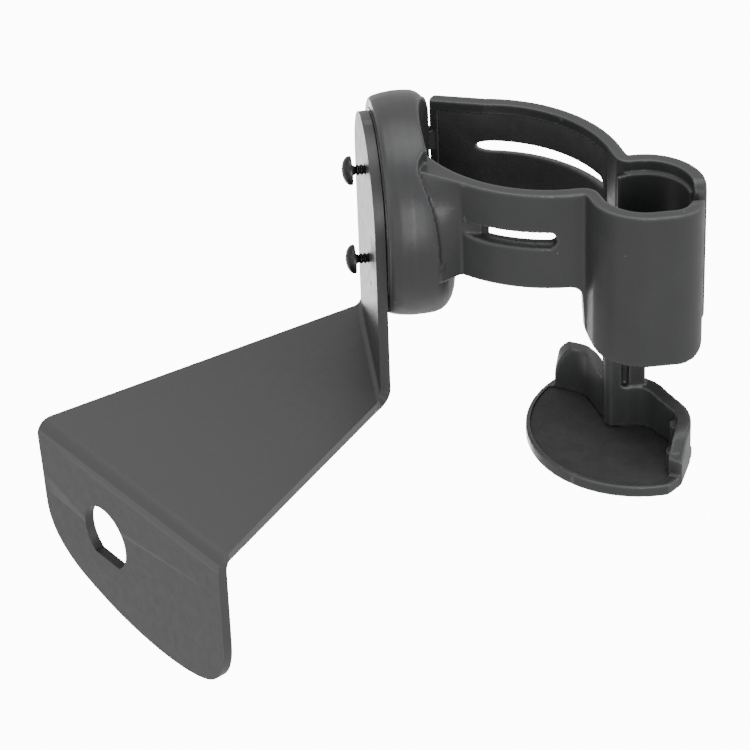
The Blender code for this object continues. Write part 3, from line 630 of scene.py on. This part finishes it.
# ---------------------------------------------------------------- holder
def front_path():
    """Middle line of the front arm, from the drum to the end of its half of the lug."""
    strap = arc(FRONT_CENTRE, FRONT_R, *degrees(197, 269))
    lug = arc(LUG_CENTRE, LUG_R, *degrees(203, 270))
    neck = [p / MM for p in (strap[-1], Vector((60.6, -41.9)) * MM, lug[0])]
    bend = rounded([(*neck[0], 0), (*neck[1], 3.2), (*neck[2], 0)], closed=False)
    right, bottom = LUG_RIGHT_X / MM, (LUG_CENTRE.y - LUG_R) / MM
    corner = rounded([(*(lug[-1] / MM), 0), (right, bottom, 8), (right, FRONT_END_Y, 0)],
                     closed=False)
    return strap + bend[1:-1] + lug + corner[1:]


def rear_path():
    """Middle line of the rear arm, from the hinge to the end of its half of the lug."""
    strap = arc(REAR_CENTRE, REAR_R, *degrees(80, 9))
    last = math.asin((REAR_END_Y * MM - LUG_CENTRE.y) / LUG_R)
    lug = arc(LUG_CENTRE, LUG_R, math.radians(96), last)
    bend = rounded([(*(strap[-1] / MM), 0), (73.6, -25.2, 2.2), (*(lug[0] / MM), 0)], closed=False)
    return [REAR_START] + strap + bend[1:-1] + lug


def arm_side(lug_start, lug_end, heading):
    """Side shape of an arm, in millimetres along its heading."""
    bottom, deep, rim = ARM_BOTTOM_Z / MM, LUG_BOTTOM_Z / MM, RIM_Z / MM
    outline = rounded([(0, rim, 0), (0, bottom, 0), (lug_start - 2, bottom, 4), (lug_start - 1, deep, 6),
                       (lug_end, deep, 8), (lug_end, rim, 0)])
    return slab(outline, -90 * MM, 90 * MM, Matrix.Rotation(heading, 4, "Z") @ ALONG_Y)


def scoop(centre, radius, face, fall, stations):
    """Slot that opens on one face (+1 outer, -1 inner) and runs out in a taper.

    Each station is an angle in degrees, how far it cuts through (0 to 1) and
    how much of the slot's height is open there.
    """
    middle = (SLOT_LOW_Z + SLOT_HIGH_Z) / 2
    rings = []
    for angle, depth, share in stations:
        a = math.radians(angle)
        out = Vector((math.cos(a), math.sin(a)))
        deep = radius + face * (ARM_T / 2 - depth * (ARM_T + 1.5 * MM))
        mouth = radius + face * (ARM_T / 2 + 3 * MM)
        ring = []
        for r, high in ((deep, False), (mouth, False), (mouth, True), (deep, True)):
            z = SLOT_HIGH_Z if high else SLOT_LOW_Z - fall * (r - radius)
            ring.append((centre.x + out.x * r, centre.y + out.y * r, middle + (z - middle) * share))
        rings.append(ring)
    return swept(rings)


def front_lined():
    """Stretch of the front arm's middle line that is lined."""
    return arc(FRONT_CENTRE, FRONT_R, *degrees(222, 268))


def rear_lined():
    """Stretch of the rear arm's middle line that is lined."""
    strap = arc(REAR_CENTRE, REAR_R, *degrees(80, 14))
    return [REAR_START.lerp(strap[0], 0.17)] + strap


def recess_for(path, side):
    """Room for a lining, open on the arm's inner face."""
    low, high = ARM_BOTTOM_Z + BORDER, RIM_Z - BORDER
    return band(beside(path, side * (ARM_T - RECESS)), low, high, ARM_T)


def through(start, end, step=6):
    """Full-depth stations between two angles in degrees."""
    count = max(1, round(abs(end - start) / step))
    return [(start + (end - start) * i / count, 1, 1) for i in range(count + 1)]


def front_slot():
    """Slot of the front arm: a long scoop on the outer face that breaks through."""
    scooped = [(227.8, 0.02, 0.5), (229, 0.14, 0.72), (232, 0.36, 0.88), (235.5, 0.62, 0.96),
               (238, 0.85, 1)]
    stations = scooped + through(240, 261.6) + [(262.8, 1, 0.75), (263.6, 1, 0.35)]
    return scoop(FRONT_CENTRE, FRONT_R, 1, 0.325, stations)


def rear_slot():
    """Slot of the rear arm, with a short scoop on the inner face."""
    scooped = [(85, 0.1, 0.3), (83.8, 0.6, 0.55), (82.5, 1, 0.75), (80.5, 1, 0.9), (78, 1, 1)]
    stations = scooped + through(74, 20) + [(18.3, 1, 0.7), (17, 1, 0.3)]
    return scoop(REAR_CENTRE, REAR_R, -1, 0.2, stations)


def root_pocket():
    """Hollow beside the front arm's root, open to the front and to the top."""
    right, top, lowest, slope_from, slope = 40, 60, -8.3, -25, 0.62
    rings = []
    for y, left in ((-18.5, 13.5), (-21, 11.6), (-23.7, 10.9), (-28, 12.7), (-31, 14.2),
                    (-32.7, 15.2), (-34.7, 15.9), (-36.5, 16.6), (-40, 17)):
        floor = lowest + slope * max(0, slope_from - y)
        corners = ((left, floor), (right, floor), (right, top), (left, top))
        rings.append([(x * MM, y * MM, z * MM) for x, z in corners])
    return swept(rings)


def drum():
    """Flared drum with a domed front and the seat hollowed into it."""
    shell = turned([(r * MM, x * MM) for x, r in DRUM_OUTLINE], facing_x(), 180)
    start, full = DRUM_LEAN_X
    for vertex in shell.data.vertices:
        lean = DRUM_LEAN * max(0, vertex.co.x - start) / (full - start)
        vertex.co.x -= lean * vertex.co.z
    cut(shell, slab(arc(SEAT_CENTRE, SEAT_R, *degrees(100, 260)), ARM_BOTTOM_Z, FAR))
    for plan in (HINGE_RELIEF, SWING_ROOM):
        cut(shell, slab(from_mm(*plan), ARM_BOTTOM_Z - 0.3 * MM, FAR))
    return cut(shell, root_pocket())


def hinge_nose():
    """Upright nose of the holder that carries the hinge pin."""
    x, y = HINGE / MM
    plan = rounded([(10, y - 8, 0), (x, y - 8, 0), (x + 3, y - 5, 0), (x + 3, y + 3, 2.9),
                    (10, y + 3, 0)])
    return slab(plan, ARM_BOTTOM_Z + 2 * MM, RIM_Z - 0.5 * MM)


def root_web():
    """Web that carries the front arm's outer face back to the drum's cut edge."""
    radii = (FRONT_R + ARM_T / 2, FRONT_R, FRONT_R)
    outer, middle, inner = (FRONT_CENTRE + r * Vector((math.cos(a), math.sin(a)))
                            for r, a in zip(radii, degrees(227, 227, 203)))
    edge = smooth([(15.8, -34.4, -8.5), (15.6, -34.2, -1.4), (15.0, -33.4, 6.5), (13.6, -31.2, 13.4),
                   (12.0, -28.8, 17.2), (10.8, -25.4, 21.5), (10.6, -22.2, 25.0)])
    return swept([[tuple(p), *[(q.x, q.y, p.z) for q in (outer, middle, inner)]] for p in edge])


def split_corner(end, direction, radius):
    """What the rounded top corner of a lug half leaves out, at the right side of the lug."""
    top = RIM_Z / MM
    centre = Vector((end - direction * radius, top - radius))
    curve = [centre + radius * Vector((direction * math.sin(a), math.cos(a)))
             for a in degrees(*range(0, 91, 6))]
    beyond = 9
    far = end + direction * beyond
    plan = curve + [Vector((far, top - radius)), Vector((far, top + beyond)),
                    Vector((centre.x, top + beyond))]
    return slab([p * MM for p in plan], 84 * MM, 102 * MM, ALONG_X)


def holder_moulding():
    """Drum, seat, front arm and the near half of the lug in one moulding."""
    strap = band(front_path(), LUG_BOTTOM_Z - 5 * MM, RIM_Z + 5 * MM, ARM_T)
    keep(strap, arm_side((LUG_CENTRE.x - LUG_R - ARM_T / 2) / MM + 1, LUG_RIGHT_X / MM + 4, 0))
    cut(strap, recess_for(front_lined(), 1), front_slot(), split_corner(FRONT_END_Y, 1, 10))
    at_hinge = Matrix.Translation((*HINGE, 0))
    nose = cut(hinge_nose(), rod(*HINGE_SLOT, at_hinge))
    hollow = [
        rod(*DRUM_CUP, facing_x(), 128),
        rod(*HUB_HOLE, facing_x(), 64),
        rod(*PIVOT_HOLE, facing_x(), 32),
        rod(*HINGE_SLOT, at_hinge),
        rod(HINGE_BORE_R, -5 * MM, 35 * MM, at_hinge, 32),
    ]
    body = moulded("holder_moulding", [drum(), nose, root_web(), strap], 0.45 * MM, 3, hollow)
    dress(body, "moulding", "holder", "holder_body")


def rear_moulding():
    """Hinged arm with the far half of the lug and its hinge tongue."""
    strap = band(rear_path(), LUG_BOTTOM_Z - 5 * MM, RIM_Z + 5 * MM, ARM_T)
    keep(strap, arm_side(69.5, 99.0, math.radians(-45)))
    cut(strap, recess_for(rear_lined(), -1), rear_slot(), split_corner(REAR_END_Y, -1, 5))
    inside = arc(LUG_CENTRE, LUG_R - ARM_T / 2 - 0.3 * MM, *degrees(116, 2))
    sleeve = band(inside, LUG_BOTTOM_Z + 1 * MM, RIM_Z - 4.2 * MM, 1.4 * MM)
    eye = arc(HINGE, TONGUE_R, *degrees(90, 270))
    tongue = slab(eye + from_mm((22.5, 18.0), (22.5, 21.2)), *TONGUE_Z)
    bore = rod(HINGE_BORE_R, 0, 20 * MM, Matrix.Translation((*HINGE, 0)), 32)
    body = moulded("rear_arm_moulding", [strap, sleeve, tongue], 0.42 * MM, 3, [bore])
    dress(body, "moulding", "rear_arm", "rear_arm")


def arm_lining(name, path, side, slot, body, node):
    """Foam strip set in an arm's recess."""
    gap, thickness = 0.03 * MM, RECESS - 0.1 * MM
    middle = beside(path, side * (ARM_T / 2 - RECESS + gap + thickness / 2))
    strip = band(middle, ARM_BOTTOM_Z + BORDER + gap, RIM_Z - BORDER - gap, thickness)
    cut(strip, slot)
    dress(finished(bevelled(strip, 0.15 * MM, 2, 50), name), "foam", body, node)


# ---------------------------------------------------------------- tray
def wall_path():
    """Middle line of the tray's wavy wall, from its far lobe to its near end."""
    return rounded([(54.2, -18.5, 0), (63.5, -24, 9), (68.5, -43.2, 6), (79, -43.2, 7), (88.2, -59, 9),
                    (82, -73.2, 0)], closed=False)


def wall_side():
    """Height of the tray's wall along y: level behind, falling to the near corner."""
    low, high = FLOOR_Z[0] / MM - 1, WALL_TOP_Z / MM
    top = smooth([(-84, high - 12), (-78, high - 11.7), (-74, high - 10.4), (-70, high - 7.4),
                  (-66, high - 4.8), (-60, high - 3.2), (-50, high - 1.8), (-40, high + 0.2),
                  (-32, high + 0.6), (-14, high + 0.6)])
    return slab(from_mm((-84, low)) + top + from_mm((-14, low)), 30 * MM, 110 * MM, ALONG_X)


def lobe_side():
    """Height of the tray's wall along x: a round lobe at the far end, level elsewhere."""
    low, high = FLOOR_Z[0] / MM - 1, WALL_TOP_Z / MM
    top = smooth([(110, high), (72, high), (68, high - 0.3), (65, high), (61.4, high + 1.2),
                  (58, high + 0.4), (55.4, high - 3), (53.6, high - 8), (53, high - 13)])
    return slab(from_mm((53, low), (110, low)) + top, -120 * MM, 0, TO_NEAR)


def tray_stem():
    """Stem with a bevelled left edge and a groove down its front."""
    x0, x1, y0, y1 = STEM_X[0] / MM, STEM_X[1] / MM, STEM_Y[0] / MM, STEM_Y[1] / MM
    plan = rounded([(x0, y0 + 2.0, 0.6), (x0 + 1.7, y0, 0.6), (x1, y0, 0.9), (x1, y1, 0.8), (x0, y1, 0.8)])
    stem = slab(plan, FLOOR_Z[0] + 1 * MM, STEM_TOP_Z)
    groove = [(70.1, y0 - 2), (72.7, y0 - 2), (72.5, y0 + 1.8), (70.3, y0 + 1.8)]
    return cut(stem, slab(from_mm(*groove), WALL_TOP_Z - 0.5 * MM, 0))


def tray_moulding():
    """Floor with a lip, wavy wall with soft lobes, and the grooved stem."""
    back = from_mm((83.6, -74.0), (90.2, -59), (81, -40.9), (67, -40.9), (66, -24), (55.2, -16.4))
    floor = slab(arc(TRAY_CENTRE, TRAY_R, *degrees(128, 276)) + back, *FLOOR_Z)
    wall = band(wall_path(), FLOOR_Z[0] + 0.8 * MM, WALL_TOP_Z + 4 * MM, WALL_T)
    keep(wall, wall_side())
    keep(wall, lobe_side())
    ribs = [rod(RIB_R, FLOOR_Z[0] + 1 * MM, z * MM, Matrix.Translation((x * MM, y * MM, 0)), 24)
            for x, y, z in RIBS]
    recess = slab(pad_outline(0.15), FLOOR_Z[1] - 1.7 * MM, FLOOR_Z[1] + 0.8 * MM)
    middle_y = (STEM_Y[0] + STEM_Y[1]) / 2 + 0.8 * MM
    stop = rod(1.5 * MM, 55 * MM, 85 * MM, facing_x(middle_y, STEM_TOP_Z - 4 * MM), 32)
    body = moulded("tray_moulding", [floor, wall, tray_stem(), *ribs], 0.42 * MM, 4, [recess, stop])
    dress(body, "moulding", "tray", "tray")


def pad_outline(grow):
    """Outline of the tray's pad, from lip to wall, grown by some millimetres."""
    edge = arc(TRAY_CENTRE, TRAY_R - LIP + grow * MM, *degrees(136, 270))
    side = beside(wall_path(), -WALL_T / 2 + (0.3 + grow) * MM)
    return edge + from_mm((78.6, -75.0)) + side[::-1]


def tray_foam():
    """Foam pad in the tray's floor."""
    pad = slab(pad_outline(0), FLOOR_Z[1] - 1.6 * MM, FLOOR_Z[1] - 0.4 * MM)
    dress(finished(bevelled(pad, 0.3 * MM, 2, 50), "tray_foam"), "foam", "tray", "tray_pad")


# ---------------------------------------------------------------- stage
def camera():
    """Long lens, 35 degrees above the horizon, a little to the left."""
    azimuth, elevation, roll = degrees(-5.7, 35.0, 2.2)
    focal, width, distance = 171.84, 36.0, 1.11875
    back = Vector((math.sin(azimuth) * math.cos(elevation), -math.cos(azimuth) * math.cos(elevation),
                   math.sin(elevation)))
    level = Vector((math.cos(azimuth), math.sin(azimuth), 0))
    rise = back.cross(level)
    right = math.cos(roll) * level - math.sin(roll) * rise
    up = math.cos(roll) * rise + math.sin(roll) * level
    data = bpy.data.cameras.new("camera")
    data.lens = focal
    data.sensor_width = width
    data.clip_start = 0.01
    eye = bpy.data.objects.new("camera", data)
    bpy.context.scene.collection.objects.link(eye)
    turn = Matrix((right, up, back)).transposed().to_4x4()
    aim = SWIVEL - right * 0.0001 - up * 0.0531
    turn.translation = aim + back * distance
    eye.matrix_world = turn
    bpy.context.scene.camera = eye


def lamp(name, place, size, power):
    """Large soft panel aimed at the holder."""
    data = bpy.data.lights.new(name, "AREA")
    data.shape = "RECTANGLE"
    data.size, data.size_y = size
    data.energy = power
    light = bpy.data.objects.new(name, data)
    bpy.context.scene.collection.objects.link(light)
    light.location = place
    light.rotation_mode = "QUATERNION"
    light.rotation_quaternion = (Vector(AIM) - Vector(place)).to_track_quat("-Z", "Y")


def stage():
    """Pale floor, white surround and soft panels."""
    work = bmesh.new()
    bmesh.ops.create_grid(work, x_segments=1, y_segments=1, size=6.0)
    mesh = bpy.data.meshes.new("floor")
    work.to_mesh(mesh)
    work.free()
    floor = thing("floor", mesh)
    floor.location.z = cad_box[0][2] - 0.3
    paint = bpy.data.materials.new("pale_floor")
    paint.use_nodes = True
    shader = paint.node_tree.nodes["Principled BSDF"]
    shader.inputs["Base Color"].default_value = (0.95, 0.95, 0.95, 1)
    shader.inputs["Roughness"].default_value = 0.9
    shader.inputs["Emission Color"].default_value = (1, 1, 1, 1)
    shader.inputs["Emission Strength"].default_value = 11.0
    mesh.materials.append(paint)
    floor.visible_diffuse = False
    floor.visible_glossy = False
    floor.visible_shadow = False
    world = bpy.data.worlds.new("surround")
    world.use_nodes = True
    world.node_tree.nodes["Background"].inputs["Color"].default_value = (1, 1, 1, 1)
    world.node_tree.nodes["Background"].inputs["Strength"].default_value = 0.9
    bpy.context.scene.world = world
    for name, (place, size, power) in LAMPS.items():
        lamp(name, place, size, power)


# ---------------------------------------------------------------- all of it
KEPT = {
    "bracket": ("nut_upper", "nut_lower", "base_disc", "friction_ring"),
    "holder": ("pivot_screw", "pivot_washer", "spring_washer", "hinge_pin", "stem_socket", "stem_clip"),
    "tray": ("stem_stop",),
}


def kept_nodes():
    """CAD nodes whose shape is right take the scene's materials."""
    slots = {part["node"]: part["material_slot"] for part in frame["record"]["subparts"]}
    for node in (name for names in KEPT.values() for name in names):
        for slot in bpy.data.objects[node].material_slots:
            slot.material = LOOKS[slots[node]]


bracket_sheet()
for side, height in SCREW_Z.items():
    tab_screw(side, height)
holder_moulding()
rear_moulding()
arm_lining("front_lining", front_lined(), 1, front_slot(), "holder", "front_liner")
arm_lining("rear_lining", rear_lined(), -1, rear_slot(), "rear_arm", "rear_liner")
tray_moulding()
tray_foam()
kept_nodes()
stage()
camera()
